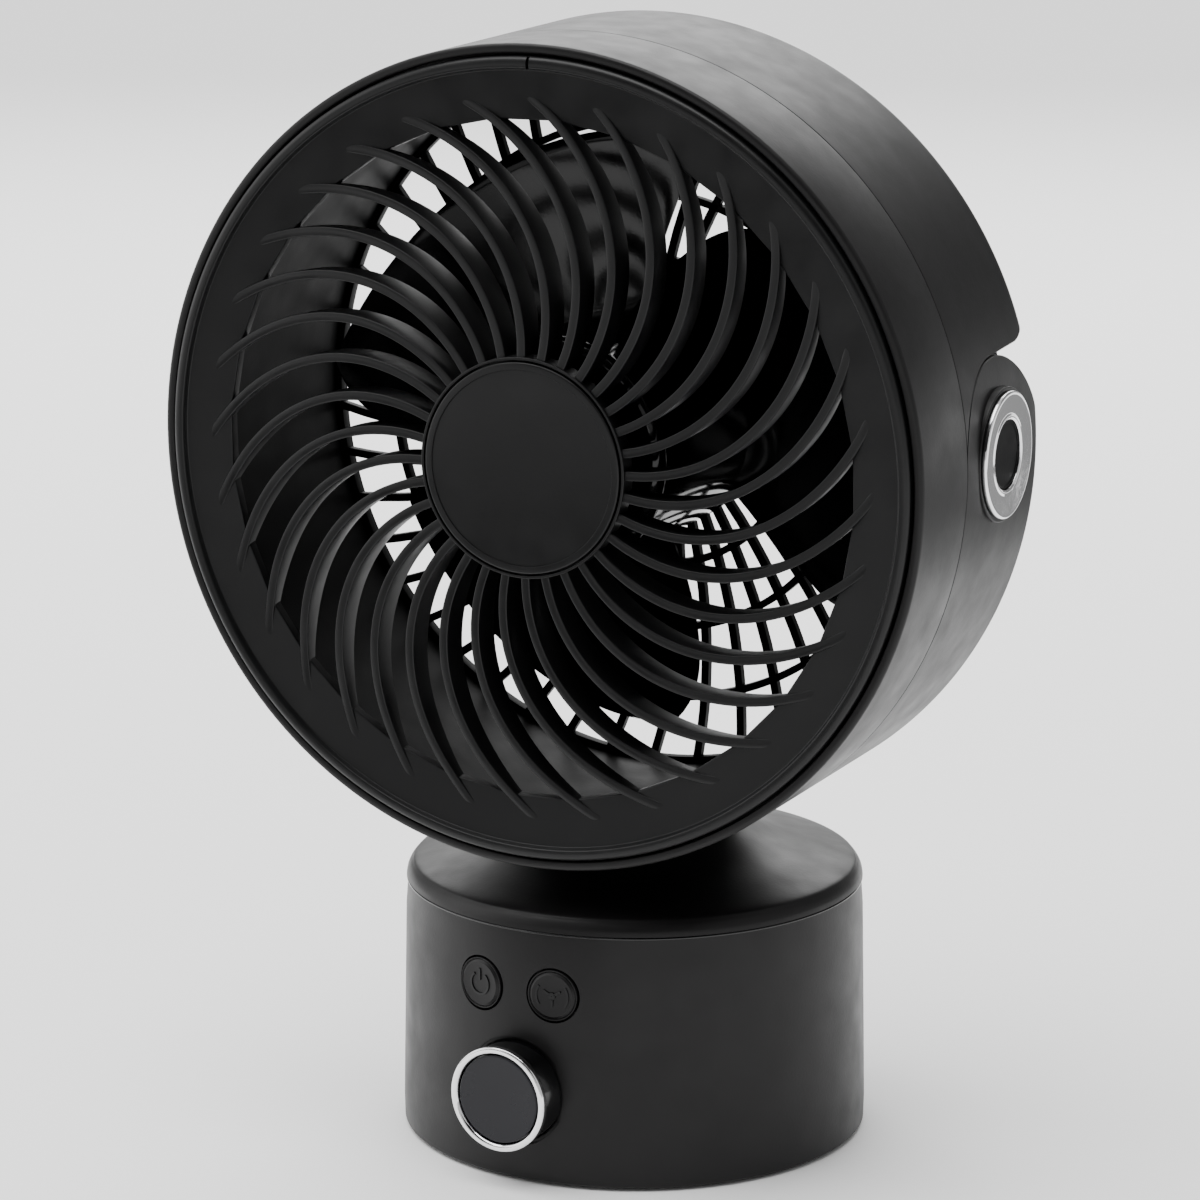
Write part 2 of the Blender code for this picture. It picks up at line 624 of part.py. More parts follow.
def upper_shell():
    front = DRUM_SPLIT - 0.2
    depths = (34.0, 30.5, 25.5, 19.0, 13.0, NOTCH_APEX, -12.6)
    outer = [(DRUM_R, depth) for depth in (front, *depths)]
    outer += [(118.2, -16.2), (115.6, -18.9), (INNER_R + 0.5, DRUM_BACK)]
    inner = [(INNER_R + 0.5, -17.3), (114.6, -16.7)]
    inner += [(116.2, depth) for depth in reversed(depths)]
    inner += [(INNER_R + 0.5, 34.0), (INNER_R + 0.5, front)]
    shell = solid_object("upper_shell", part_turn(outer + inner, shell_limits, 22, HEAD))
    finish(shell, BLACK, 0.45, 0.0, PIVOT_POINT)


# ---------------------------------------------------------------- grilles
def slat_angle(radius):
    reach = max(radius - SLAT_START_R, 0.0) / SLAT_SPAN
    return SLAT_SWEEP * reach ** SLAT_POWER


def slat(phase):
    """One spiral slat, thin from the front and deep along the head's axis."""
    rings = []
    for radius, front, back in SLAT_STATIONS:
        angle = phase + slat_angle(radius)
        ahead = Vector((radius * math.cos(angle), radius * math.sin(angle)))
        near = phase + slat_angle(radius + 0.5)
        along = (Vector(((radius + 0.5) * math.cos(near), (radius + 0.5) * math.sin(near))) - ahead).normalized()
        side = Vector((-along.y, along.x)) * 0.5 * SLAT_T
        rings.append([(ahead.x + side.x, ahead.y + side.y, front), (ahead.x - side.x, ahead.y - side.y, front),
                      (ahead.x - side.x, ahead.y - side.y, back), (ahead.x + side.x, ahead.y + side.y, back)])
    points = [HEAD @ Vector(corner) for ring in rings for corner in ring]
    faces = [(0, 1, 2, 3), tuple(len(points) - 4 + corner for corner in (3, 2, 1, 0))]
    for index in range(len(rings) - 1):
        for corner in range(4):
            after = (corner + 1) % 4
            low = index * 4
            faces.append((low + corner, low + after, low + 4 + after, low + 4 + corner))
    return points, faces


def front_grille():
    rim = [(RIM_R, 65.0), (RIM_R, 70.0), (114.8, 70.6), (113.0, 70.6), (CREASE_R, 70.2), (DISH_R, 68.3),
           (DISH_R, 65.0)]
    hub = [(0, 70.0), (HUB_R, 70.0), (HUB_R, 75.9), (30.8, 75.9), (30.8, 72.6), (0, 72.6)]
    grille = solid_object("front_grille", merge(*[slat(SLAT_PHASE + 2 * math.pi * k / SLATS) for k in range(SLATS)]))
    combine(grille, merge(lathe(rim, GRILLE_SEGMENTS, HEAD), lathe(hub, SMALL + 6, HEAD)), "UNION")
    finish(grille, GRILLE_BLACK, 0.4, 0.0, PIVOT_POINT)
    cap = [(0, 72.9), (CAP_R, 72.9), (CAP_R, 75.9), (29.6, 76.5), (20.0, CAP_FRONT), (0, CAP_FRONT)]
    finish(solid_object("hub_cap", lathe(cap, SMALL + 6, HEAD)), GRILLE_BLACK, 0.4, 0.0, PIVOT_POINT)


def rear_grille():
    """Flat lattice of rings and slightly leaning spokes made cell by cell."""
    radii = [radius for ring in REAR_RINGS for radius in ring]
    sides = 2 * SPOKES

    def corner(ring_index, side_index):
        radius = radii[ring_index]
        half = 0.5 * SPOKE_T / max(radius, 40.0)
        lean = SPOKE_LEAN * (radius - REAR_DISC_R) / (REAR_GRILLE_R - REAR_DISC_R)
        middle = 2 * math.pi * (side_index // 2) / SPOKES + lean
        angle = middle + (half if side_index % 2 else -half)
        return radius * math.cos(angle), radius * math.sin(angle)

    flat = [corner(r, s) for r in range(len(radii)) for s in range(sides)]
    count = len(flat)
    points = [HEAD @ Vector((x, y, REAR_L[0])) for x, y in flat]
    points += [HEAD @ Vector((x, y, REAR_L[1])) for x, y in flat]
    edges = {}
    faces = []
    cells = []
    for r in range(len(radii) - 1):
        for s in range(sides):
            if r % 2 == 0 or s % 2 == 0:
                after = (s + 1) % sides
                cells.append((r * sides + s, (r + 1) * sides + s, (r + 1) * sides + after, r * sides + after))
    cells.append(tuple(range(sides)))
    for cell in cells:
        faces.append(cell)
        faces.append(tuple(index + count for index in reversed(cell)))
        for here, there in zip(cell, cell[1:] + cell[:1]):
            key = (min(here, there), max(here, there))
            edges.setdefault(key, []).append((here, there))
    for uses in edges.values():
        if len(uses) == 1:
            here, there = uses[0]
            faces.append((there, here, here + count, there + count))
    grille = solid_object("rear_grille", (points, faces))
    holes = []
    for x, y in boss_centres(22.0, (90, 210, 330)):
        holes.append(cylinder(1.9, -20, -10, TINY, HEAD @ Matrix.Translation((x, y, 0))))
    combine(grille, merge(*holes), "DIFFERENCE")
    finish(grille, BLACK, 0.5, 0.0, PIVOT_POINT)


# ---------------------------------------------------------------- motor and rotor
def motor():
    low, high = MOTOR_L
    profile = [(0, low), (28.5, low), (MOTOR_R, low + 1.5), (MOTOR_R, high - 2.5), (27.5, high), (9.0, high),
               (9.0, high + 3.0), (SHAFT_R + 0.4, high + 3.0), (SHAFT_R + 0.4, -6.0), (0, -6.0)]
    body = solid_object("fan_motor", lathe(profile, SMALL + 6, HEAD))
    holes = []
    for x, y in boss_centres(22.0, (90, 210, 330)):
        holes.append(cylinder(1.6, -20, -5, TINY, HEAD @ Matrix.Translation((x, y, 0))))
    combine(body, merge(*holes), "DIFFERENCE")
    finish(body, STEEL, 0.4, 0.8, PIVOT_POINT)
    for index, (x, y) in enumerate(boss_centres(22.0, (90, 210, 330)), 1):
        screw("motor_screw_%d" % index, HEAD @ Matrix.Translation((x, y, REAR_L[0] - 0.1)), 3.2, 1.6, 1.3, 9.5,
              PIVOT_POINT)


def blade_point(share_r, share_c, phase):
    """Middle surface of a blade: share_r from hub to tip, share_c from leading to trailing edge."""
    radius = BLADE_ROOT_R + (BLADE_R - BLADE_ROOT_R) * share_r
    width = math.radians(106.5 - 8.9 * share_r) * (1.0 - 0.12 * share_r ** 8)
    angle = phase + BLADE_SWEEP * max(share_r, 0.0) ** 0.8 + width * (0.5 - share_c)
    rise = 34.7 + 2.4 * share_r
    depth = BLADE_L + rise * (0.5 - share_c) - 11.4 * math.sin(math.pi * share_c)
    return Vector((radius * math.cos(angle), radius * math.sin(angle), depth))


def blade(phase):
    rows = 6
    cols = 9
    front = []
    back = []
    for r in range(rows):
        front_row = []
        back_row = []
        for c in range(cols):
            share_r = r / (rows - 1)
            share_c = c / (cols - 1)
            here = blade_point(share_r, share_c, phase)
            out = blade_point(share_r + 0.01, share_c, phase) - here
            along = blade_point(share_r, share_c + 0.01, phase) - here
            normal = out.cross(along).normalized()
            thin = 0.35 if c in (0, cols - 1) else 1.0
            offset = normal * 0.5 * BLADE_T * thin
            front_row.append(HEAD @ (here + offset))
            back_row.append(HEAD @ (here - offset))
        front.append(front_row)
        back.append(back_row)
    return skin(front, back)


ROTOR_ORIGIN = (0, -33.0, AXIS_Z)
ROTOR_PHASE = math.radians(22.6)


def rotor():
    hub = [(ROTOR_HUB_R, -7.0), (ROTOR_HUB_R, 51.0), (31.0, 56.5), (SHAFT_R + 0.4, 56.5), (SHAFT_R + 0.4, 34.0),
           (7.0, 34.0), (7.0, 54.0), (29.5, 54.0), (32.0, 50.0), (32.0, -7.0)]
    fan = solid_object("fan_rotor", lathe(hub, SMALL + 6, HEAD))
    blades = [blade(ROTOR_PHASE + 2 * math.pi * k / BLADES) for k in range(BLADES)]
    combine(fan, merge(*blades), "UNION")
    finish(fan, GRILLE_BLACK, 0.25, 0.0, ROTOR_ORIGIN)
    finish(solid_object("rotor_shaft", cylinder(SHAFT_R, -5.6, 62.0, TINY + 4, HEAD)), STEEL, 0.25, 1.0,
           ROTOR_ORIGIN)
    nut = [(SHAFT_R + 0.3, 56.8), (7.5, 56.8), (7.5, 60.0), (5.5, 62.0), (SHAFT_R + 0.3, 62.0)]
    finish(solid_object("rotor_nut", lathe(nut, TINY + 4, HEAD)), DARK, 0.4, 0.0, ROTOR_ORIGIN)


def motor_lead():
    start = HEAD @ Vector((30.4, 0, -9.0))
    path = [start, HEAD @ Vector((36, 0, -10.5)), HEAD @ Vector((60, 0, -11.0)), HEAD @ Vector((90, 0, -11.0)),
            HEAD @ Vector((103.5, 0, -10.0))]
    finish(solid_object("motor_lead", pipe(path, 1.6, 8)), DARK, 0.5, 0.0, PIVOT_POINT)


clear_objects()
base_body()
bottom_cover()
controls()
inlet()
swing_drive()
top_cover()
yoke()
swivel_retainer()
pivots()
front_housing()
rear_housing()
upper_shell()
front_grille()
rear_grille()
motor()
rotor()
motor_lead()
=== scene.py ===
"""Looks of the desk fan: smooth shells, spiral grille, controls, procedural materials, light and camera.

Lengths are millimetres while the shapes are worked out and become metres in mesh_object().
The head faces -Y at rest, so HEAD maps (x, y, depth) to world x, z and -y about the drum's axis.
"""

import math

import bmesh
import bpy
from mathutils import Matrix, Vector


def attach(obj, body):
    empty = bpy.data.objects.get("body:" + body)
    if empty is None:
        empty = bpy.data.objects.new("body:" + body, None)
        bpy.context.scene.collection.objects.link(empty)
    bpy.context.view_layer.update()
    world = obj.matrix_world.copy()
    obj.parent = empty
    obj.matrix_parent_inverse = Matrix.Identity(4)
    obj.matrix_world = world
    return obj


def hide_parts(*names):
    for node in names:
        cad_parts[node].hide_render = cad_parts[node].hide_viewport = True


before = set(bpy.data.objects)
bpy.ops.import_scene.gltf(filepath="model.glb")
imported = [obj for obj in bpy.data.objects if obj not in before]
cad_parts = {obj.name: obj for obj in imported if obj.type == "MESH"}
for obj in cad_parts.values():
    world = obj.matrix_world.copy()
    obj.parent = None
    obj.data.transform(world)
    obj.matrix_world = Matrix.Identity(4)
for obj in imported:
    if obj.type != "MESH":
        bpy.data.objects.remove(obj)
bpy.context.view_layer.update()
MM = 0.001

# ---------------------------------------------------------------- sizes, in millimetres
BASE_YAW = math.radians(-5.4)
BASE_R = 70.0
BASE_TOP_R = 68.6
SEAM_Z = 77.05
DECK_TOP_Z = 70.2
DECK_Z = 67.8
BORE_R = 16.4
NECK_R = 28.0
NECK_Z = 96.0

BUTTON_R = 7.7
BUTTON_HOLE_R = 8.3
BUTTON_Z = 58.4
BUTTON_SPREAD = math.radians(10.2)
BUTTON_FACE = 69.5
KNOB_Z = 27.8
KNOB_SEAT = 68.0
KNOB_R = 15.4
KNOB_RING_R = 15.8
KNOB_FACE = 79.2
INLET_Z = 16.0
INLET_AZIMUTH = BASE_YAW + math.pi
INLET_HALF_X = 7.0
INLET_HALF_Z = 5.0
INLET_CORNER = 1.2
INLET_GAP = 0.3
CONTROL_CUT = (60.0, 75.0)
CONTROL_AZIMUTHS = {"power": BASE_YAW - BUTTON_SPREAD, "swing": BASE_YAW + BUTTON_SPREAD}

AXIS_Z = 215.25
DRUM_R = 119.0
DRUM_SPLIT = 36.5
DRUM_BACK = -19.65
INNER_R = 109.9
DUCT_R = 107.3
SEAM_GAP = 0.1
PIVOT_L = 8.5
PIVOT_UP = 2.0
ARCH_R = 28.0
ARCH_HALF = 27.8
ARCH_GAP = 0.4
ARM_WALL = 3.4
PLINTH_R = 19.4
PLINTH_X = 119.3
NOTCH_APEX = 7.2
NOTCH_ROUND = 10.0
NOTCH_RISE = 30.4
NOTCH_SLOPE = 0.04
SHELL_INNER_R = 116.2
SHELL_CORNER = 4.65
SHELL_LIP = 0.15
TURN_STEPS = 150
END_ROUND = 0.3
SIDES = ((1, "right"), (-1, "left"))

RIM_R = 115.6
DISH_R = 98.0
HUB_R = 31.8
SLATS = 32
SLAT_PHASE = math.radians(1.0)
SLAT_SWEEP = math.radians(33.4)
SLAT_START_R = 35.0
SLAT_SPAN = 69.6
SLAT_POWER = 1.59
SLAT_FRONT_T = 2.7
SLAT_BACK_T = 1.9
SLAT_RIDGE = 0.42
SLAT_FRONT = [(30.8, 75.2), (50.0, 74.3), (70.0, 72.6), (88.0, 70.5), (98.5, 69.1), (106.0, 68.85)]
SLAT_BACK = [(30.8, 65.4), (50.0, 63.8), (70.0, 63.0), (88.0, 63.0), (98.5, 64.4), (106.0, 66.0)]

REAR_SPOKES = 46
REAR_DISC_R = 34.0
REAR_OUTER = (105.4, 107.0)
REAR_RINGS = (46.0, 65.5, 87.0)
REAR_L = (-16.3, -13.3)
SPOKE_LEAN = math.radians(-12.5)
SPOKE_PHASE = math.radians(0.4)
SPOKE_T = 2.5

BLADES = 3
BLADE_ROOT_R = 33.3
BLADE_R = 85.3
BLADE_L = 12.0
BLADE_SWEEP = math.radians(-16.8)
ROTOR_HUB_R = 34.5
BLADE_T = 2.0
BLADE_WIDTH = math.radians(106.5)
BLADE_NARROWING = math.radians(8.9)
BLADE_TIP_TRIM = 0.12
BLADE_TIP_POWER = 8
BLADE_SWEEP_POWER = 0.8
BLADE_RISE = 34.7
BLADE_RISE_GAIN = 2.4
BLADE_CAMBER = 11.4
ROTOR_PHASE = math.radians(22.6)

MOTOR_RIBS = 16
MOTOR_SCREW_R = 22.0
MOTOR_SCREW_L = -16.4
MOTOR_SCREW_TURNS = (90, 210, 330)

SEGMENTS = 192
SMALL_SEGMENTS = 96
SCREW_SEGMENTS = 48
SHARP_ANGLE = 32

# ---------------------------------------------------------------- view and light
# Metres and degrees; lens and sensor are in millimetres.
CAMERA_TARGET = (-0.00945, -0.00449, 0.16072)
CAMERA_AZIMUTH = 25.4
CAMERA_ELEVATION = 13.55
CAMERA_DISTANCE = 1.478
CAMERA_LENS = 149.16
CAMERA_SENSOR = 36.0
SKY_STRENGTH = 0.62
SUN_POWER = 3.6
SUN_SPREAD = 60


# ---------------------------------------------------------------- frames
def frame_from_axes(origin, x_axis, y_axis, z_axis):
    columns = Matrix((x_axis, y_axis, z_axis)).transposed().to_4x4()
    columns.translation = Vector(origin)
    return columns


HEAD = frame_from_axes((0, 0, AXIS_Z), (1, 0, 0), (0, 0, 1), (0, -1, 0))
WORLD = Matrix.Identity(4)


def radial_frame(azimuth, height):
    """Z points out of the base at the azimuth measured from -Y towards +X."""
    sine = math.sin(azimuth)
    cosine = math.cos(azimuth)
    return frame_from_axes((0, 0, height), (cosine, sine, 0), (0, 0, 1), (sine, -cosine, 0))


def pivot_frame(side):
    """Z points out along the tilt axis, side is +1 for +X and -1 for -X."""
    return frame_from_axes((0, -PIVOT_L, AXIS_Z + PIVOT_UP), (0, side, 0), (0, 0, 1), (side, 0, 0))


# ---------------------------------------------------------------- outlines
def rounded(corners, steps=5):
    """Closed outline of (a, b) or (a, b, fillet) corners; each fillet becomes a small arc."""
    outline = []
    count = len(corners)
    for index, corner in enumerate(corners):
        here = Vector(corner[:2])
        fillet = corner[2] if len(corner) > 2 else 0
        if not fillet:
            outline.append(tuple(here))
            continue
        before = (Vector(corners[index - 1][:2]) - here).normalized() * fillet
        after = (Vector(corners[(index + 1) % count][:2]) - here).normalized() * fillet
        for step in range(steps + 1):
            t = step / steps
            outline.append(tuple(here + before * (1 - t) ** 2 + after * t ** 2))
    return outline


def smooth_curve(points, steps=8):
    """Catmull-Rom curve through the points, ends included."""
    padded = [points[0], *points, points[-1]]
    curve = []
    for p0, p1, p2, p3 in zip(padded, padded[1:], padded[2:], padded[3:]):
        for step in range(steps):
            t = step / steps
            curve.append(tuple(0.5 * (2 * b + (c - a) * t + (2 * a - 5 * b + 4 * c - d) * t ** 2
                                      + (3 * b - a - 3 * c + d) * t ** 3)
                               for a, b, c, d in zip(p0, p1, p2, p3)))
    return [*curve, points[-1]]


def read_curve(curve, x):
    """Height of a curve of (x, height) points at x."""
    for (x0, y0), (x1, y1) in zip(curve, curve[1:]):
        if x <= x1:
            return y0 + (y1 - y0) * max(x - x0, 0.0) / (x1 - x0)
    return curve[-1][1]


# ---------------------------------------------------------------- solids as (points, faces)
def lathe(profile, place=WORLD, segments=SEGMENTS):
    """Closed profile of (radius, height) turned about the frame's Z axis."""
    points = []
    rings = []
    for radius, height in profile:
        count = segments if radius > 0 else 1
        ring = []
        for step in range(count):
            angle = 2 * math.pi * step / segments
            ring.append(len(points))
            points.append(place @ Vector((radius * math.cos(angle), radius * math.sin(angle), height)))
        rings.append(ring)
    faces = []
    for low, high in zip(rings, rings[1:] + rings[:1]):
        if len(low) == 1 and len(high) == 1:
            continue
        for step in range(segments):
            after = (step + 1) % segments
            corners = [low[step % len(low)], low[after % len(low)],
                       high[after % len(high)], high[step % len(high)]]
            faces.append(tuple(dict.fromkeys(corners)))
    return points, faces


def cylinder(radius, low, high, place, segments=SMALL_SEGMENTS):
    return lathe([(0, low), (radius, low), (radius, high), (0, high)], place, segments)


def loft(sections, closed_ends=True):
    """Skin through equal rings of points."""
    points = [point for section in sections for point in section]
    count = len(sections[0])
    faces = []
    for index in range(len(sections) - 1):
        for corner in range(count):
            after = (corner + 1) % count
            low = index * count
            high = low + count
            faces.append((low + corner, low + after, high + after, high + corner))
    if closed_ends:
        faces.append(tuple(reversed(range(count))))
        faces.append(tuple(range(len(points) - count, len(points))))
    return points, faces


def part_turn(outer, inner, limits, place):
    """Shell between an outer and an inner profile, turned between the two angles that limits gives.

    The angles depend on the profile point, and the outer edges at both ends are rounded off.
    """
    profile = outer + inner[::-1]
    count = len(profile)
    half = len(outer)
    shares = [None, *[step / TURN_STEPS for step in range(TURN_STEPS + 1)], None]
    points = []
    for index, share in enumerate(shares):
        for corner, (radius, depth) in enumerate(profile):
            start, end = limits(radius, depth)
            trim = END_ROUND / radius
            reach = radius
            if share is None:
                angle = start if index == 0 else end
                if corner < half:
                    reach = radius - END_ROUND
            else:
                angle = start + trim + share * (end - start - 2 * trim)
            points.append(place @ Vector((reach * math.cos(angle), reach * math.sin(angle), depth)))
    faces = []
    for index in range(len(shares) - 1):
        for corner in range(count):
            after = (corner + 1) % count
            low = index * count
            high = low + count
            faces.append((low + corner, low + after, high + after, high + corner))
    last = (len(shares) - 1) * count
    for index in range(half - 1):
        cap = (index, index + 1, count - 2 - index, count - 1 - index)
        faces.append(cap)
        faces.append(tuple(last + corner for corner in reversed(cap)))
    return points, faces


def box(low, high, place):
    points = [place @ Vector((x, y, z)) for x in (low[0], high[0]) for y in (low[1], high[1])
              for z in (low[2], high[2])]
    return points, [(0, 1, 3, 2), (4, 6, 7, 5), (0, 4, 5, 1), (2, 3, 7, 6), (0, 2, 6, 4), (1, 5, 7, 3)]


def merge(*solids):
    points = []
    faces = []
    for solid_points, solid_faces in solids:
        shift = len(points)
        points += solid_points
        faces += [tuple(corner + shift for corner in face) for face in solid_faces]
    return points, faces


def around(make, count, phase=0.0):
    """The same solid made at equal steps round a circle."""
    return merge(*[make(phase + 2 * math.pi * step / count) for step in range(count)])


# ---------------------------------------------------------------- meshes
def mesh_object(name, solid):
    points, faces = solid
    mesh = bpy.data.meshes.new(name)
    mesh.from_pydata([tuple(Vector(point) * MM) for point in points], [], faces)
    work = bmesh.new()
    work.from_mesh(mesh)
    bmesh.ops.remove_doubles(work, verts=work.verts, dist=1e-7)
    bmesh.ops.recalc_face_normals(work, faces=work.faces)
    work.to_mesh(mesh)
    work.free()
    made = bpy.data.objects.new(name, mesh)
    bpy.context.scene.collection.objects.link(made)
    return made


def cut(target, solid):
    """Takes the closed solid out of the target."""
    tool = mesh_object("cutter", solid)
    step = target.modifiers.new("cut", "BOOLEAN")
    step.operation = "DIFFERENCE"
    step.solver = "EXACT"
    step.object = tool
    result = bpy.data.meshes.new_from_object(target.evaluated_get(bpy.context.evaluated_depsgraph_get()))
    target.modifiers.clear()
    old = target.data
    target.data = result
    bpy.data.meshes.remove(old)
    bpy.data.objects.remove(tool, do_unlink=True)


def piece(name, solid, body, slot, stands_for=(), cuts=(), sharp=SHARP_ANGLE):
    """A visible piece: built, cut, shaded, painted and tied to its body."""
    made = mesh_object(name, solid)
    for hole in cuts:
        cut(made, hole)
    made.data.shade_smooth()
    made.data.set_sharp_from_angle(angle=math.radians(sharp))
    made.data.materials.clear()
    made.data.materials.append(FINISHES[slot])
    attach(made, body)
    if stands_for:
        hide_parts(*stands_for)


# ---------------------------------------------------------------- materials
def finish(name, colour, roughness, metallic=0.0, specular=0.5, grain=1100.0, bump=0.12, spread=0.05,
           tint=0.12, scratches=0.0):
    """Moulded or metal surface: fine grain as bump, drifting roughness, slight tone change, rub marks."""
    material = bpy.data.materials.new(name)
    material.use_nodes = True
    nodes = material.node_tree.nodes
    links = material.node_tree.links
    shader = nodes["Principled BSDF"]
    shader.inputs["Metallic"].default_value = metallic
    shader.inputs["Specular IOR Level"].default_value = specular
    place = nodes.new("ShaderNodeTexCoord")

    def noise(scale, detail, distortion=0.0):
        made = nodes.new("ShaderNodeTexNoise")
        made.inputs["Scale"].default_value = scale
        made.inputs["Detail"].default_value = detail
        made.inputs["Distortion"].default_value = distortion
        links.new(place.outputs["Object"], made.inputs["Vector"])
        return made.outputs["Fac"]

    def remap(source, low, high):
        made = nodes.new("ShaderNodeMapRange")
        made.inputs["From Min"].default_value = 0.3
        made.inputs["From Max"].default_value = 0.7
        made.inputs["To Min"].default_value = low
        made.inputs["To Max"].default_value = high
        links.new(source, made.inputs["Value"])
        return made.outputs["Result"]

    patches = noise(38.0, 3.0)
    fine = noise(grain, 2.0)
    tone = nodes.new("ShaderNodeMix")
    tone.data_type = "RGBA"
    tone.inputs["A"].default_value = (*[c * (1 - tint) for c in colour], 1)
    tone.inputs["B"].default_value = (*[c * (1 + tint) for c in colour], 1)
    links.new(remap(patches, 0.0, 1.0), tone.inputs["Factor"])
    links.new(tone.outputs["Result"], shader.inputs["Base Color"])
    rough = remap(noise(90.0, 4.0), roughness - spread, roughness + spread)
    if scratches:
        rub = remap(noise(260.0, 6.0, 2.5), -scratches, scratches)
        add = nodes.new("ShaderNodeMath")
        add.operation = "ADD"
        links.new(rough, add.inputs[0])
        links.new(rub, add.inputs[1])
        rough = add.outputs["Value"]
    links.new(rough, shader.inputs["Roughness"])
    relief = nodes.new("ShaderNodeBump")
    relief.inputs["Strength"].default_value = bump
    relief.inputs["Distance"].default_value = 0.0002
    links.new(fine, relief.inputs["Height"])
    links.new(relief.outputs["Normal"], shader.inputs["Normal"])
    return material


LOOKS = {
    "shell_black": dict(colour=(0.0033, 0.0030, 0.0032), roughness=0.40, specular=0.27),
    "inner_black": dict(colour=(0.0028, 0.0028, 0.0030), roughness=0.45, specular=0.05),
    "grille_black": dict(colour=(0.0026, 0.0026, 0.0028), roughness=0.36, specular=0.30),
    "rotor_black": dict(colour=(0.0016, 0.0016, 0.0018), roughness=0.09, specular=0.40, bump=0.02,
                        spread=0.03),
    "gloss_black": dict(colour=(0.0020, 0.0020, 0.0022), roughness=0.10, specular=0.6, bump=0.02,
                        spread=0.03),
    "pad_rubber": dict(colour=(0.0130, 0.0130, 0.0130), roughness=0.88, specular=0.2, grain=700.0, bump=0.5),
    "lead_rubber": dict(colour=(0.0120, 0.0120, 0.0120), roughness=0.60, specular=0.3, grain=900.0,
                        bump=0.3),
    "chrome_trim": dict(colour=(0.92, 0.92, 0.93), roughness=0.08, metallic=1.0, bump=0.02, spread=0.03,
                        tint=0.03, scratches=0.03),
    "knob_grey": dict(colour=(0.0052, 0.0052, 0.0080), roughness=0.30, specular=0.32, grain=1500.0,
                      bump=0.08),
    "board_green": dict(colour=(0.012, 0.085, 0.035), roughness=0.45, grain=500.0, bump=0.3),
    "nylon_white": dict(colour=(0.72, 0.71, 0.66), roughness=0.45, bump=0.06),
    "steel": dict(colour=(0.46, 0.46, 0.47), roughness=0.32, metallic=1.0, grain=1800.0, bump=0.05,
                  tint=0.05, scratches=0.06),
    "motor_alloy": dict(colour=(0.40, 0.40, 0.41), roughness=0.42, metallic=0.85, grain=900.0, bump=0.25,
                        tint=0.08, scratches=0.05),
}
FINISHES = {name: finish(name, **look) for name, look in LOOKS.items()}


# ---------------------------------------------------------------- base
def outer_radius(height):
    return BASE_R - (BASE_R - BASE_TOP_R) * height / SEAM_Z


def base_shell():
    levels = [8.0, 15.0, 27.8, 40.0, 48.0, 58.4, 68.0]
    wall = [(outer_radius(z), z) for z in levels]
    outline = [(69.11, 1.01), (69.68, 1.6), *wall, (68.12, 76.85), (66.5, 76.85), (66.1, DECK_TOP_Z),
               (BORE_R, DECK_TOP_Z), (BORE_R, 60.3), (19.6, 60.3), (19.6, DECK_Z), (66.0, DECK_Z),
               (67.3, 0.9)]
    low, high = CONTROL_CUT
    holes = [cylinder(BUTTON_HOLE_R, low, high, radial_frame(azimuth, BUTTON_Z))
             for azimuth in CONTROL_AZIMUTHS.values()]
    seat_r = KNOB_RING_R + 0.7
    seat = [(0, low), (4.5, low), (4.5, KNOB_SEAT), (seat_r, KNOB_SEAT), (seat_r, high), (0, high)]
    holes.append(lathe(seat, radial_frame(BASE_YAW, KNOB_Z), SMALL_SEGMENTS))
    half_x = INLET_HALF_X + INLET_GAP
    half_z = INLET_HALF_Z + INLET_GAP
    holes.append(box((-half_x, -half_z, low), (half_x, half_z, high), radial_frame(INLET_AZIMUTH, INLET_Z)))
    piece("base_shell", lathe(outline), "base", "shell_black", ["base_body"], [merge(*holes)])
    bead = rounded([(68.0, 76.4), (68.64, 76.4, 0.1), (68.64, 76.95, 0.35), (68.0, 76.95, 0.1)])
    piece("base_edge", lathe(bead), "base", "gloss_black")


def underside():
    cover = rounded([(0, 1.7), (66.9, 1.7, 0.3), (66.9, 3.9, 0.3), (0, 3.9)])
    piece("underside_cover", lathe(cover), "base", "inner_black", ["bottom_cover"])
    grooves = [(0, 0.0)]
    for start in (44.0, 56.0):
        grooves += [(start, 0.0), (start + 0.4, 0.3), (start + 2.6, 0.3), (start + 3.0, 0.0)]
    pad = grooves + rounded([(66.2, 0.0, 0.6), (66.2, 1.4), (0, 1.4)])
    piece("foot_pad", lathe(pad), "base", "pad_rubber", ["nonslip_pad"])


def arc_band(radius, width, start, end, low, high, place, steps=40):
    """Flat curved stroke, angles in degrees, anticlockwise from the frame's X; a full turn has no ends."""
    inner = radius - width / 2
    outer = radius + width / 2
    ring = [(inner, low), (outer, low), (outer, high), (inner, high)]
    sections = []
    for step in range(steps + 1):
        angle = math.radians(start + (end - start) * step / steps)
        sections.append([place @ Vector((r * math.cos(angle), r * math.sin(angle), z)) for r, z in ring])
    return loft(sections, closed_ends=end - start < 360)


def plate(outline, low, high, place):
    return loft([[place @ Vector((x, y, z)) for x, y in outline] for z in (low, high)])


def button(name, azimuth):
    """Dished push button; returns the frame for its sign."""
    place = radial_frame(azimuth, BUTTON_Z)
    profile = rounded([(0, 60.6), (BUTTON_R, 60.6), (BUTTON_R, 62.6), (9.2, 62.6), (9.2, 64.4),
                       (BUTTON_R, 64.4), (BUTTON_R, BUTTON_FACE, 0.9)], 8)
    drops = ((6.3, 0.03), (5.0, 0.12), (3.0, 0.19), (0, 0.22))
    dish = [(radius, BUTTON_FACE - drop) for radius, drop in drops]
    piece(name + "_cap", lathe(profile + dish, place, SMALL_SEGMENTS), name, "shell_black", [name])
    return place


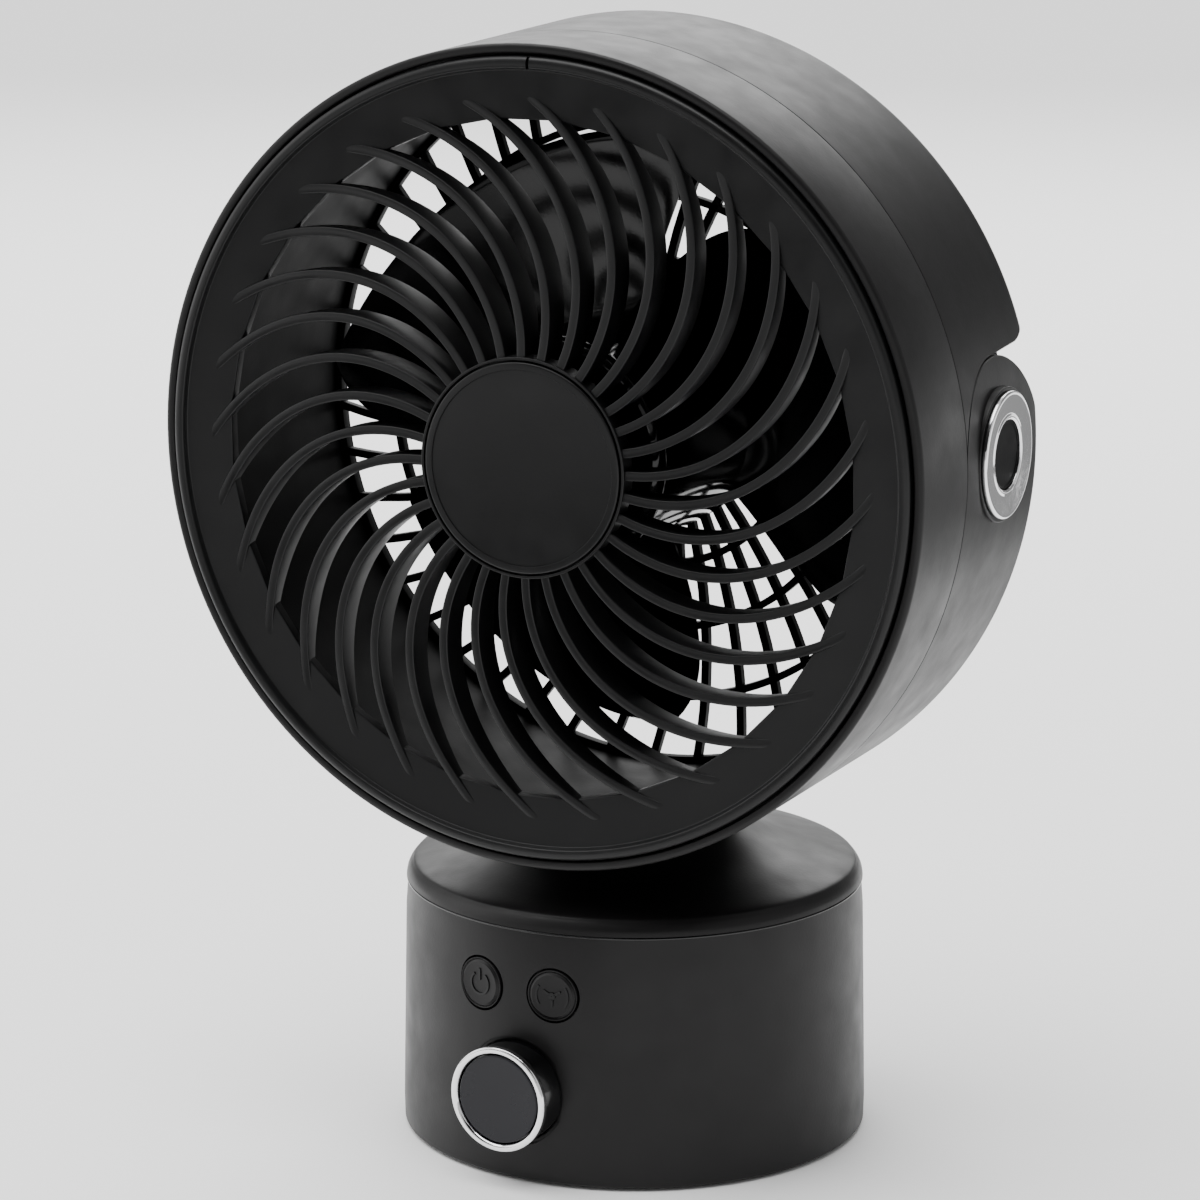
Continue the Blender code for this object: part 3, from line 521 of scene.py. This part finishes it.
def buttons():
    """Round push buttons with raised signs: power, and a fan that turns to both sides."""
    low = BUTTON_FACE - 0.3
    high = BUTTON_FACE + 0.15
    stroke = 0.72
    half = stroke / 2
    place = button("power_button", CONTROL_AZIMUTHS["power"])
    bar = plate([(-half, 1.0), (half, 1.0), (half, 4.5), (-half, 4.5)], low, high, place)
    sign = merge(arc_band(3.3, stroke, 126, 414, low, high, place), bar)
    piece("power_sign", sign, "power_button", "grille_black")
    place = button("swing_button", CONTROL_AZIMUTHS["swing"])
    strokes = [arc_band(0.6, 1.0, 0, 360, low, high, place)]
    for turn in (-90, 30, 150):
        along = Matrix.Rotation(math.radians(turn), 4, "Z")
        blade_outline = [(0.8, -half), (3.1, -half), (3.1, half), (0.8, half)]
        strokes.append(plate(blade_outline, low, high, place @ along))
    for side in (0, 180):
        strokes.append(arc_band(4.9, stroke, side - 36, side + 36, low, high, place))
    piece("swing_sign", merge(*strokes), "swing_button", "grille_black")


def knob():
    place = radial_frame(BASE_YAW, KNOB_Z)
    back = KNOB_FACE - 2.5
    body = rounded([(0, 68.4), (KNOB_R + 0.3, 68.4, 0.6), (KNOB_R - 1.3, back, 0.3), (0, back)])
    piece("knob_grip", lathe(body, place), "knob", "gloss_black", ["knob_body"])
    seat = KNOB_FACE - 2.2
    ring = rounded([(13.5, seat), (KNOB_RING_R, seat, 0.2), (KNOB_RING_R, KNOB_FACE, 0.9),
                    (14.1, KNOB_FACE - 0.1, 0.5), (13.5, KNOB_FACE - 1.2)])
    piece("knob_trim", lathe(ring, place), "knob", "chrome_trim", ["knob_ring"])
    edge = rounded([(13.2, seat), (13.2, KNOB_FACE - 0.75, 0.5), (12.0, KNOB_FACE - 0.8)])[1:]
    face = [(0, seat), *edge, (6.0, KNOB_FACE - 0.95), (0, KNOB_FACE - 1.0)]
    piece("knob_dial", lathe(face, place), "knob", "knob_grey", ["knob_face"])


def inlet():
    place = radial_frame(INLET_AZIMUTH, INLET_Z)
    sections = []
    for depth, grow in ((55.5, 0.0), (68.7, 0.0), (69.0, -0.12), (69.2, -0.4)):
        half_x = INLET_HALF_X + grow
        half_z = INLET_HALF_Z + grow
        signs = ((-1, -1), (1, -1), (1, 1), (-1, 1))
        outline = rounded([(x * half_x, z * half_z, INLET_CORNER) for x, z in signs])
        sections.append([place @ Vector((x, y, depth)) for x, y in outline])
    bore = [(0, 57.0), (3.2, 57.0), (3.2, 69.2), (3.9, 69.3), (3.9, 71.0), (0, 71.0)]
    socket = lathe(bore, place, SMALL_SEGMENTS)
    piece("inlet_housing", loft(sections), "base", "inner_black", ["power_inlet"], [socket])
    lip = lathe([(4.2, 69.18), (4.9, 69.18), (4.8, 69.32), (4.3, 69.32)], place, SMALL_SEGMENTS)
    piece("inlet_lip", lip, "base", "steel")


# ---------------------------------------------------------------- swivel
def top_cover():
    edge_z = SEAM_Z + SEAM_GAP
    dome = smooth_curve([(68.6, edge_z), (68.2, 79.0), (67.0, 81.0), (64.8, 82.5), (56.0, 84.9),
                         (44.0, 88.2), (35.5, 92.0), (NECK_R, NECK_Z)])
    inner = [(BORE_R, NECK_Z), (BORE_R, 72.4), (20.4, 72.4), (20.4, 91.0), (27.0, 91.6), (42.0, 86.2),
             (62.5, 80.9), (66.0, edge_z)]
    piece("dome_cover", lathe(dome + inner), "swivel", "shell_black", ["top_cover"])


def arch_height(depth, radius):
    """Height above the drum's axis of a round arch over the tilt pivot."""
    return PIVOT_UP + math.sqrt(max(radius ** 2 - (depth - PIVOT_L) ** 2, 0.0))


def yoke_limits(radius, depth):
    rise = math.asin(arch_height(depth, ARCH_R) / radius)
    return math.pi - rise, 2 * math.pi + rise


def edge_profile(depths, radius, front_round, back_round):
    """Outer line of a shell that rounds off at its front and back edges."""
    line = []
    for depth in depths:
        drop = 0.0
        for gap, size in ((depths[0] - depth, front_round), (depth - depths[-1], back_round)):
            if gap < size:
                drop = max(drop, size - math.sqrt(size ** 2 - (size - gap) ** 2))
        line.append((radius - drop, depth))
    return line


def yoke():
    count = 56
    depths = [PIVOT_L + ARCH_HALF * math.cos(math.pi * step / count) for step in range(count + 1)]
    outer = edge_profile(depths, DRUM_R, 0.25, 2.0)
    inner = [(DRUM_R - ARM_WALL, depth) for depth in depths]
    holes = [cylinder(6.0, 100, 130, pivot_frame(side)) for side, word in SIDES]
    band = part_turn(outer, inner, yoke_limits, HEAD)
    piece("yoke_band", band, "swivel", "shell_black", ["yoke"], [merge(*holes)])
    foot = [(5.0, 60.0), (16.0, 60.0), (16.0, 96.3), (27.7, 96.3), (NECK_R + 0.05, 96.6), (28.3, 97.4),
            (29.2, 98.7), (30.4, 99.6), (5.0, 99.6)]
    piece("neck_foot", lathe(foot), "swivel", "shell_black")
    for side, word in SIDES:
        pivot_trim(pivot_frame(side), word)


def pivot_trim(place, word):
    """Plinth, chrome ring and recessed cap on the tilt axis."""
    plinth = rounded([(6.0, 114.8), (PLINTH_R, 114.8), (PLINTH_R, PLINTH_X, 0.4), (9.3, PLINTH_X, 0.1),
                      (9.3, 117.3), (6.0, 117.3)])
    piece("pivot_plinth_" + word, lathe(plinth, place), "swivel", "shell_black")
    ring = rounded([(10.1, 119.6), (18.3, 119.6, 0.15), (18.3, 120.7, 0.5), (17.2, 120.9, 0.3),
                    (12.0, 120.3, 0.2), (10.9, 120.6, 0.3), (10.1, 120.2, 0.2)])
    piece("pivot_trim_" + word, lathe(ring, place), "swivel", "chrome_trim", ["pivot_ring_" + word])
    edge = rounded([(9.8, 119.36), (9.8, 119.8, 0.25), (9.0, 119.6, 0.2)])[1:]
    cap = lathe([(0, 119.36), *edge, (6.0, 119.46), (0, 119.42)], place, SMALL_SEGMENTS)
    piece("pivot_plug_" + word, cap, "swivel", "inner_black", ["pivot_cap_" + word])


# ---------------------------------------------------------------- head
def front_band():
    back = DRUM_SPLIT + SEAM_GAP
    band = rounded([(DRUM_R, back, 0.15), (DRUM_R, 69.7, 1.5), (116.1, 69.7, 0.8), (116.1, 64.6),
                    (105.0, 64.6), (105.0, 62.2), (116.1, 62.2), (116.1, 39.1), (110.3, 39.1),
                    (110.3, back, 0.3)])
    piece("front_band", lathe(band, HEAD), "head", "shell_black", ["front_housing"])


def rear_drum():
    front = 61.9
    back = -19.0
    drum = rounded([(INNER_R, front), (INNER_R, 42.1), (115.7, 42.1), (115.7, 39.5), (INNER_R, 39.5),
                    (INNER_R, back, 3.0), (106.4, back, 0.3), (106.4, -16.6), (DUCT_R, -16.6),
                    (DUCT_R, front)], 8)
    piece("rear_drum", lathe(drum, HEAD), "head", "inner_black", ["rear_housing"])
    boss = rounded([(5.9, 107.8), (12.0, 107.8), (12.0, 112.9, 0.4), (5.9, 112.9)])
    for side, word in SIDES:
        piece("pivot_boss_" + word, lathe(boss, pivot_frame(side), SMALL_SEGMENTS), "head", "inner_black")


def shell_limits(radius, depth):
    """Lower edge of the upper shell: over the arch in front, and a notch with a round corner behind it."""
    if depth > NOTCH_APEX:
        rise = arch_height(depth, ARCH_R + ARCH_GAP)
    else:
        reach = max(DRUM_BACK + NOTCH_ROUND - depth, 0.0)
        rise = NOTCH_RISE + (NOTCH_APEX - depth) * NOTCH_SLOPE
        rise += NOTCH_ROUND - math.sqrt(NOTCH_ROUND ** 2 - reach ** 2)
    angle = math.asin(rise / radius)
    return angle, math.pi - angle


def quarter_turn(steps):
    """Sine and cosine at equal steps through a right angle."""
    angles = [math.pi / 2 * step / steps for step in range(steps + 1)]
    return [(math.sin(angle), math.cos(angle)) for angle in angles]


def upper_shell():
    front = DRUM_SPLIT - SEAM_GAP
    flat_front = 36.0
    flat_back = DRUM_BACK + SHELL_CORNER
    flat_steps = 60
    inner_front = 34.0
    outer = [(DRUM_R - SHELL_LIP * (1 - sine), front - SHELL_LIP * (1 - cosine))
             for sine, cosine in quarter_turn(4)[:-1]]
    outer += [(DRUM_R, flat_front - (flat_front - flat_back) * step / flat_steps)
              for step in range(flat_steps + 1)]
    depths = [depth for radius, depth in outer]
    outer += [(DRUM_R - SHELL_CORNER * (1 - cosine), flat_back - SHELL_CORNER * sine)
              for sine, cosine in quarter_turn(12)[1:]]
    outer += [(112.4, DRUM_BACK), (INNER_R + 0.5, DRUM_BACK)]
    inner = [(SHELL_INNER_R, min(depth, inner_front)) for depth in depths[:-3]]
    corner_r = 114.6
    inner += [(SHELL_INNER_R, -14.0), (115.8, -15.4), (corner_r, -16.6)]
    while len(inner) < len(outer):
        share = (len(inner) - len(depths)) / (len(outer) - len(depths) - 1)
        inner.append((corner_r - (corner_r - INNER_R - 0.5) * share, -16.7 - 0.6 * share))
    shell = part_turn(outer, inner, shell_limits, HEAD)
    piece("drum_cover", shell, "head", "shell_black", ["upper_shell"])


# ---------------------------------------------------------------- grilles
def slat_angle(radius):
    reach = max(radius - SLAT_START_R, 0.0) / SLAT_SPAN
    return SLAT_SWEEP * reach ** SLAT_POWER


FRONT_LINE = smooth_curve(SLAT_FRONT, 6)
BACK_LINE = smooth_curve(SLAT_BACK, 6)


def slat(phase):
    """One spiral slat with a softened front edge and drafted sides."""
    sections = []
    stations = 40
    ahead_by = 0.2
    half = SLAT_FRONT_T / 2
    thin = SLAT_BACK_T / 2
    start_r = SLAT_FRONT[0][0]
    end_r = SLAT_FRONT[-1][0]
    for step in range(stations + 1):
        radius = start_r + (end_r - start_r) * step / stations
        front = read_curve(FRONT_LINE, radius)
        back = read_curve(BACK_LINE, radius)
        angle = phase + slat_angle(radius)
        next_r = radius + ahead_by
        next_angle = phase + slat_angle(next_r)
        here = Vector((radius * math.cos(angle), radius * math.sin(angle)))
        ahead = Vector((next_r * math.cos(next_angle), next_r * math.sin(next_angle)))
        along = (ahead - here).normalized()
        side = Vector((-along.y, along.x))
        edge = [(half, front - SLAT_RIDGE), (half - 0.06, front - 0.22), (half - 0.2, front - 0.07),
                (half - SLAT_RIDGE, front)]
        mirrored = [(-across, depth) for across, depth in edge]
        outline = [(-thin, back), *mirrored, (0, front + 0.05), *reversed(edge), (thin, back)]
        sections.append([HEAD @ Vector((*(here + side * across), depth)) for across, depth in outline])
    return loft(sections)


def front_grille():
    slats = around(slat, SLATS, SLAT_PHASE)
    piece("front_slats", slats, "head", "grille_black", ["front_grille"], sharp=50)
    rim = rounded([(RIM_R, 65.0), (RIM_R, 71.8, 2.4), (112.4, 71.6, 0.5), (111.7, 69.75, 0.3),
                   (DISH_R, 68.2, 0.5), (DISH_R, 65.0)])
    points, faces = lathe(rim, HEAD, SLATS * 8)
    to_head = HEAD.inverted()
    slat_step = 2 * math.pi / SLATS
    shaped = []
    for point in points:
        local = to_head @ point
        radius = math.hypot(local.x, local.y)
        if radius < DISH_R + 1.0:
            turn = (math.atan2(local.y, local.x) - SLAT_PHASE - slat_angle(DISH_R)) % slat_step
            chord = math.cos(slat_step / 2) / math.cos(turn - slat_step / 2)
            local.x *= chord
            local.y *= chord
        shaped.append(HEAD @ local)
    tick = box((-0.45, 112.2, 69.6), (0.45, RIM_R + 1.0, 72.0), HEAD)
    piece("grille_rim", (shaped, faces), "head", "grille_black", cuts=[tick])
    hub = rounded([(0, 70.0), (HUB_R, 70.0), (HUB_R, 75.95, 0.35), (31.0, 75.95, 0.2), (30.75, 74.2),
                   (30.75, 72.6), (0, 72.6)])
    piece("hub_ring", lathe(hub, HEAD), "head", "grille_black")
    edge = rounded([(30.4, 72.9), (30.4, 76.25, 0.6), (28.0, 76.5, 0.4)])[1:]
    disc = [(0, 72.9), *edge, (20.0, 76.68), (10.0, 76.75), (0, 76.77)]
    piece("hub_disc", lathe(disc, HEAD), "head", "grille_black", ["hub_cap"])


def spoke(phase):
    """One leaning spoke of the rear grille with softened edges."""
    sections = []
    stations = 10
    low, high = REAR_L
    half = SPOKE_T / 2
    edge = [(half, low + 0.4), (half, high - 0.3), (half - 0.25, high)]
    outline = [(-half, low + 0.4), (-half + 0.35, low), (half - 0.35, low), *edge]
    outline += [(-across, depth) for across, depth in reversed(edge[1:])]
    for step in range(stations + 1):
        radius = REAR_DISC_R - 0.5 + (REAR_OUTER[0] + 1.0 - REAR_DISC_R) * step / stations
        angle = phase + SPOKE_LEAN * (radius - REAR_DISC_R) / (REAR_OUTER[1] - REAR_DISC_R)
        out = Vector((math.cos(angle), math.sin(angle)))
        side = Vector((-out.y, out.x))
        here = out * radius
        sections.append([HEAD @ Vector((*(here + side * across), depth)) for across, depth in outline])
    return loft(sections)


def rear_grille():
    low, high = REAR_L
    rings = []
    for middle in REAR_RINGS:
        inner = middle - 1.1
        outer = middle + 1.1
        rings.append(rounded([(inner, low, 0.35), (outer, low, 0.35), (outer, high, 0.25),
                              (inner, high, 0.25)], 3))
    inner, outer = REAR_OUTER
    rings.append(rounded([(inner, low, 0.3), (outer, low), (outer, high), (inner, high, 0.3)], 3))
    disc_r = REAR_DISC_R + 0.3
    disc = rounded([(0, low), (disc_r, low, 0.7), (disc_r, high, 0.3), (0, high)])
    solids = [lathe(ring, HEAD) for ring in rings]
    solids += [lathe(disc, HEAD), around(spoke, REAR_SPOKES, SPOKE_PHASE)]
    piece("rear_lattice", merge(*solids), "head", "inner_black", ["rear_grille"])


# ---------------------------------------------------------------- motor and rotor
def motor():
    profile = rounded([(0, -13.0), (30.0, -13.0, 1.5), (30.0, 15.0, 2.5), (9.0, 15.0), (9.0, 18.0, 0.5),
                       (2.9, 18.0), (2.9, -6.0), (0, -6.0)])
    solids = [lathe(profile, HEAD)]
    for rib in range(MOTOR_RIBS):
        turned = HEAD @ Matrix.Rotation(2 * math.pi * rib / MOTOR_RIBS, 4, "Z")
        solids.append(box((27.0, -0.9, -9.0), (30.9, 0.9, 11.0), turned))
    piece("motor_can", merge(*solids), "head", "motor_alloy", ["fan_motor"])
    screw = rounded([(0, -1.7), (2.2, -1.6, 0.4), (3.2, -0.9, 0.4), (3.2, 0, 0.1), (1.3, 0), (1.3, 9.5),
                     (0, 9.5)])
    for index, turn in enumerate(MOTOR_SCREW_TURNS, 1):
        angle = math.radians(turn)
        seat = (MOTOR_SCREW_R * math.cos(angle), MOTOR_SCREW_R * math.sin(angle), MOTOR_SCREW_L)
        place = HEAD @ Matrix.Translation(seat)
        slots = [box((-x, -y, -3), (x, y, -0.8), place) for x, y in ((1.7, 0.35), (0.35, 1.7))]
        piece("motor_screw_head_%d" % index, lathe(screw, place, SCREW_SEGMENTS), "head", "steel",
              ["motor_screw_%d" % index], slots)


def blade_point(share_r, share_c, phase):
    """Middle surface of a blade: share_r from hub to tip, share_c from leading to trailing edge."""
    radius = BLADE_ROOT_R + (BLADE_R - BLADE_ROOT_R) * share_r
    width = (BLADE_WIDTH - BLADE_NARROWING * share_r) * (1.0 - BLADE_TIP_TRIM * share_r ** BLADE_TIP_POWER)
    angle = phase + BLADE_SWEEP * share_r ** BLADE_SWEEP_POWER + width * (0.5 - share_c)
    rise = BLADE_RISE + BLADE_RISE_GAIN * share_r
    depth = BLADE_L + rise * (0.5 - share_c) - BLADE_CAMBER * math.sin(math.pi * share_c)
    return Vector((radius * math.cos(angle), radius * math.sin(angle), depth))


def blade(phase):
    """Twisted blade, thick in the middle and thin at its edges."""
    rows = 28
    cols = 60
    nudge = 0.01
    sections = []
    for row in range(rows + 1):
        share_r = row / rows
        tip = 1.0 if share_r < 0.97 else 0.6
        front = []
        back = []
        for col in range(cols + 1):
            share_c = col / cols
            here = blade_point(share_r, share_c, phase)
            out = blade_point(share_r + nudge, share_c, phase) - here
            along = blade_point(share_r, share_c + nudge, phase) - here
            normal = out.cross(along).normalized()
            thin = 0.25 + 0.75 * math.sin(math.pi * share_c) ** 0.5
            offset = normal * 0.5 * BLADE_T * thin * tip
            front.append(HEAD @ (here + offset))
            back.append(HEAD @ (here - offset))
        sections.append(front + back[::-1])
    return loft(sections)


def rotor():
    back = -7.0
    front = 56.5
    hub = rounded([(ROTOR_HUB_R, back, 0.4), (ROTOR_HUB_R, front, 4.0), (2.9, front), (2.9, 34.0),
                   (7.0, 34.0), (7.0, 54.0), (29.5, 54.0), (32.0, 50.0), (32.0, back)])
    solid = merge(lathe(hub, HEAD), around(blade, BLADES, ROTOR_PHASE))
    piece("rotor_blades", solid, "rotor", "rotor_black", ["fan_rotor"], sharp=40)
    nut = rounded([(2.8, 56.8), (7.5, 56.8, 0.2), (7.5, 60.4, 0.8), (5.5, 62.0, 0.4), (2.8, 62.0)])
    piece("rotor_lock", lathe(nut, HEAD, SCREW_SEGMENTS), "rotor", "inner_black", ["rotor_nut"])


# ---------------------------------------------------------------- carried-over nodes
CARRIED = {
    "cover_screw_": "steel", "retainer_screw_": "steel", "housing_screw_": "steel", "pivot_bolt_": "steel",
    "swivel_retainer": "steel", "rotor_shaft": "steel", "knob_shaft": "steel", "speed_control": "motor_alloy",
    "swing_motor": "motor_alloy", "tilt_washer_": "nylon_white", "thrust_washer": "nylon_white",
    "swing_gear": "nylon_white", "swing_pinion": "nylon_white", "control_board": "board_green",
    "power_switch": "inner_black", "swing_switch": "inner_black", "inlet_lead": "lead_rubber",
    "motor_lead": "lead_rubber",
}


def carried_over():
    for name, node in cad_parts.items():
        for start, slot in CARRIED.items():
            if name.startswith(start):
                node.data.materials.clear()
                node.data.materials.append(FINISHES[slot])


# ---------------------------------------------------------------- stage, light, camera
def matte_paint(name, albedo, roughness, specular):
    paint = bpy.data.materials.new(name)
    paint.use_nodes = True
    shader = paint.node_tree.nodes["Principled BSDF"]
    shader.inputs["Base Color"].default_value = (albedo, albedo, albedo, 1)
    shader.inputs["Roughness"].default_value = roughness
    shader.inputs["Specular IOR Level"].default_value = specular
    return paint


def stage():
    floor = mesh_object("floor", lathe([(0, -4.0), (16000, -4.0), (16000, 0.0), (0, 0.0)], WORLD, 64))
    floor.data.materials.append(matte_paint("floor_paint", 0.95, 0.6, 0.2))
    world = bpy.data.worlds.new("studio")
    world.use_nodes = True
    sky = world.node_tree.nodes["Background"]
    sky.inputs["Color"].default_value = (1.0, 1.0, 1.0, 1)
    sky.inputs["Strength"].default_value = SKY_STRENGTH
    bpy.context.scene.world = world


def aim(thing, place, target):
    """Puts an object at place with its -Z towards target."""
    thing.location = place
    thing.rotation_euler = (Vector(target) - Vector(place)).to_track_quat("-Z", "Y").to_euler()


def area_light(name, place, target, size, power):
    data = bpy.data.lights.new(name, "AREA")
    data.shape = "RECTANGLE"
    data.size = size[0]
    data.size_y = size[1]
    data.energy = power
    light = bpy.data.objects.new(name, data)
    light.visible_camera = False
    aim(light, place, target)
    bpy.context.scene.collection.objects.link(light)


def flag(name, place, target, size, albedo=0.01):
    """Dark card that only reflections see."""
    half_x = size[0] / 2 / MM
    half_y = size[1] / 2 / MM
    card = mesh_object(name, box((-half_x, -half_y, -2.0), (half_x, half_y, 0.0), WORLD))
    aim(card, place, target)
    card.data.materials.append(matte_paint(name + "_paint", albedo, 0.9, 0.0))
    card.visible_camera = False
    card.visible_shadow = False
    card.visible_diffuse = False


def lights():
    sun = bpy.data.lights.new("sky_panel", "SUN")
    sun.energy = SUN_POWER
    sun.angle = math.radians(SUN_SPREAD)
    lamp = bpy.data.objects.new("sky_panel", sun)
    lamp.rotation_euler = (math.radians(12), math.radians(-10), 0)
    bpy.context.scene.collection.objects.link(lamp)
    area_light("back_panel", place=(-0.6, 1.5, 1.25), target=(0, 0, 0.25), size=(2.0, 1.5), power=30)
    area_light("left_panel", place=(-1.6, -0.5, 0.75), target=(0, 0, 0.2), size=(1.6, 1.3), power=11)
    flag("front_flag", place=(-0.32, -0.64, 0.004), target=(-0.32, -0.64, 1.0), size=(0.8, 0.62))
    flag("high_flag", place=(0.25, -0.95, 1.05), target=(0, 0, 0.1), size=(2.0, 1.3))
    flag("back_floor_flag", place=(0.48, 0.92, 0.004), target=(0.48, 0.92, 1.0), size=(0.62, 0.9),
         albedo=0.14)
    flag("back_flag", place=(0.62, 1.2, 0.7), target=(0, 0, 0.25), size=(1.1, 1.1), albedo=0.14)


def camera():
    azimuth = math.radians(CAMERA_AZIMUTH)
    elevation = math.radians(CAMERA_ELEVATION)
    level = math.cos(elevation)
    out = Vector((math.sin(azimuth) * level, -math.cos(azimuth) * level, math.sin(elevation)))
    data = bpy.data.cameras.new("camera")
    data.lens = CAMERA_LENS
    data.sensor_width = CAMERA_SENSOR
    data.clip_end = 60.0
    eye = bpy.data.objects.new("camera", data)
    aim(eye, Vector(CAMERA_TARGET) + out * CAMERA_DISTANCE, CAMERA_TARGET)
    bpy.context.scene.collection.objects.link(eye)
    bpy.context.scene.camera = eye


camera()
base_shell()
underside()
buttons()
knob()
inlet()
top_cover()
yoke()
front_band()
rear_drum()
upper_shell()
front_grille()
rear_grille()
motor()
rotor()
carried_over()
stage()
lights()
